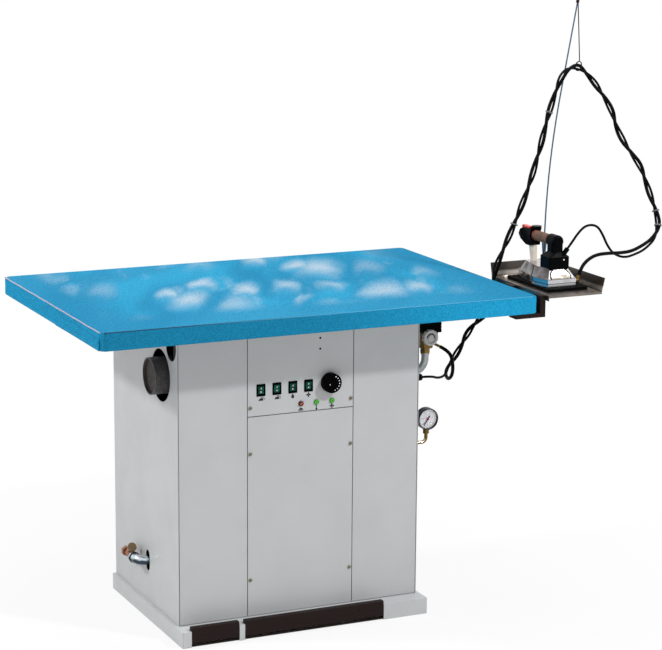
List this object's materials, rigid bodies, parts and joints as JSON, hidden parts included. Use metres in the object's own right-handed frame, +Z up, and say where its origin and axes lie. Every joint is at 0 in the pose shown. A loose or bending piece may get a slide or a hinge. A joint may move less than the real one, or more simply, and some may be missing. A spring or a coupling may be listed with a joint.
{
  "type": "vacuum ironing table",
  "caption": "Vacuum ironing table: padded suction top on a steel cabinet with boiler, fan, foot pedals, switch panel, and a steam iron on a side rest with its hose rod.",
  "frame": {"origin": "on the floor, under the middle of the cabinet", "axes": "+X to the right of a person who stands at the front, +Y to the back, +Z up"},
  "size_m": [1.7629, 0.865, 1.7224],
  "materials": {
    "white_paint": "semi-gloss powder coat",
    "grey_paint": "semi-gloss",
    "black_paint": "satin",
    "zinc_steel": "galvanised",
    "pipe_zinc": "galvanised",
    "boiler_steel": "satin",
    "screw_steel": "polished",
    "stainless": "brushed",
    "spring_steel": "drawn",
    "motor_paint": "satin",
    "cast_alloy": "cast",
    "brass": "machined",
    "black_plastic": "satin",
    "iron_plastic": "satin bakelite",
    "green_plastic": "translucent gloss",
    "lamp_plastic": "translucent gloss",
    "grey_plastic": "satin",
    "bronze_paint": "satin",
    "gauge_paint": "gloss rim, white face",
    "needle_paint": "satin",
    "clear_glass": "clear",
    "tank_plastic": "milky",
    "blue_cloth": "woven cotton",
    "foam": "open foam",
    "rubber_mat": "matte",
    "sole_alloy": "polished",
    "chrome": "polished",
    "cork": "granular cork",
    "red_plastic": "gloss",
    "beige_plastic": "satin",
    "black_rubber": "satin",
    "white_plastic": "satin"
  },
  "bodies": {
    "cabinet": {"side_panel_left": "white_paint", "side_panel_right": "white_paint", "front_panel_left": "white_paint", "front_panel_right": "white_paint", "control_panel": "white_paint", "service_panel": "white_paint", "rear_panel": "white_paint", "plinth_base": "grey_paint", "pedal_frame": "black_paint", "rest_bracket": "black_paint", "hose_hook": "black_paint", "inner_frame": "zinc_steel", "table_plenum": "zinc_steel", "suction_plate": "zinc_steel", "fan_volute": "zinc_steel", "steam_pipe": "pipe_zinc", "drain_pipe": "pipe_zinc", "boiler": "boiler_steel", "panel_screws": "screw_steel", "rest_tray": "stainless", "hose_rod": "spring_steel", "fan_motor": "motor_paint", "feed_pump": "motor_paint", "safety_valve": "brass", "steam_valve": "brass", "drain_valve": "brass", "gauge_pipe": "brass", "switch_frames": "black_plastic", "thermostat_body": "black_plastic", "exhaust_spigot": "black_plastic", "solenoid_coil": "black_plastic", "cable_glands": "black_plastic", "pilot_lamps": "lamp_plastic", "gauge_case": "gauge_paint", "gauge_glass": "clear_glass", "water_tank": "tank_plastic", "cloth_cover": "blue_cloth", "foam_pad": "foam", "rest_mat": "rubber_mat", "steam_hose": "black_rubber", "iron_cable": "black_rubber", "cable_ties": "white_plastic"},
    "rocker_1": {"rocker_1": "green_plastic"},
    "rocker_2": {"rocker_2": "green_plastic"},
    "rocker_3": {"rocker_3": "green_plastic"},
    "rocker_4": {"rocker_4": "green_plastic"},
    "dial": {"dial_knob": "black_plastic"},
    "pedal_left": {"pedal_left": "black_paint"},
    "pedal_right": {"pedal_right": "black_paint"},
    "fan": {"fan_impeller": "cast_alloy"},
    "steam_knob": {"steam_knob": "grey_plastic"},
    "gauge_needle": {"gauge_needle": "needle_paint"},
    "drain_wheel": {"drain_wheel": "bronze_paint"},
    "iron": {"iron_sole": "sole_alloy", "iron_cover": "chrome", "iron_handle": "iron_plastic", "iron_grip": "cork", "iron_strut": "beige_plastic", "iron_fitting": "brass"},
    "thumb": {"iron_button": "red_plastic"}
  },
  "joints": [
    {"name": "rocker_1_tilt", "type": "hinge", "parent": "cabinet", "child": "rocker_1", "pos_m": [-0.1185, -0.25, 0.683], "axis": [1, 0, 0], "range_deg": [-16, 0]},
    {"name": "rocker_2_tilt", "type": "hinge", "parent": "cabinet", "child": "rocker_2", "pos_m": [-0.0715, -0.25, 0.683], "axis": [1, 0, 0], "range_deg": [-16, 0]},
    {"name": "rocker_3_tilt", "type": "hinge", "parent": "cabinet", "child": "rocker_3", "pos_m": [-0.0245, -0.25, 0.683], "axis": [1, 0, 0], "range_deg": [-16, 0]},
    {"name": "rocker_4_tilt", "type": "hinge", "parent": "cabinet", "child": "rocker_4", "pos_m": [0.0225, -0.25, 0.683], "axis": [1, 0, 0], "range_deg": [-16, 0]},
    {"name": "dial_turn", "type": "hinge", "parent": "cabinet", "child": "dial", "pos_m": [0.086, -0.255, 0.687], "axis": [0, 1, 0], "range_deg": [0, 270]},
    {"name": "pedal_left_press", "type": "hinge", "parent": "cabinet", "child": "pedal_left", "pos_m": [0, -0.17, 0.024], "axis": [1, 0, 0], "range_deg": [0, 4], "stiffness_Nm_per_rad": 6, "springref_deg": -20.05},
    {"name": "pedal_right_press", "type": "hinge", "parent": "cabinet", "child": "pedal_right", "pos_m": [0, -0.17, 0.024], "axis": [1, 0, 0], "range_deg": [0, 4], "stiffness_Nm_per_rad": 6, "springref_deg": -20.05},
    {"name": "fan_spin", "type": "hinge", "parent": "cabinet", "child": "fan", "pos_m": [-0.12, -0.01, 0.72], "axis": [0, 0, 1], "continuous": true},
    {"name": "steam_knob_turn", "type": "hinge", "parent": "cabinet", "child": "steam_knob", "pos_m": [0.414, -0.203, 0.776], "axis": [0, 1, 0], "range_deg": [0, 300]},
    {"name": "gauge_needle_swing", "type": "hinge", "parent": "cabinet", "child": "gauge_needle", "pos_m": [0.421, -0.196, 0.535], "axis": [0, 1, 0], "range_deg": [0, 250]},
    {"name": "drain_wheel_turn", "type": "hinge", "parent": "cabinet", "child": "drain_wheel", "pos_m": [-0.387, 0.076, 0.164], "axis": [0, -0.8192, 0.5736], "range_deg": [0, 720]},
    {"name": "iron_lift", "type": "slide", "parent": "cabinet", "child": "iron", "axis": [0, -0.4, 0.9165], "range_m": [0, 0.12], "deforming": ["steam_hose", "iron_cable", "cable_ties"]},
    {"name": "thumb_press", "type": "slide", "parent": "iron", "child": "thumb", "axis": [0, 0, -1], "range_m": [0, 0.003], "stiffness_N_per_m": 200, "springref_m": -0.005}
  ]
}
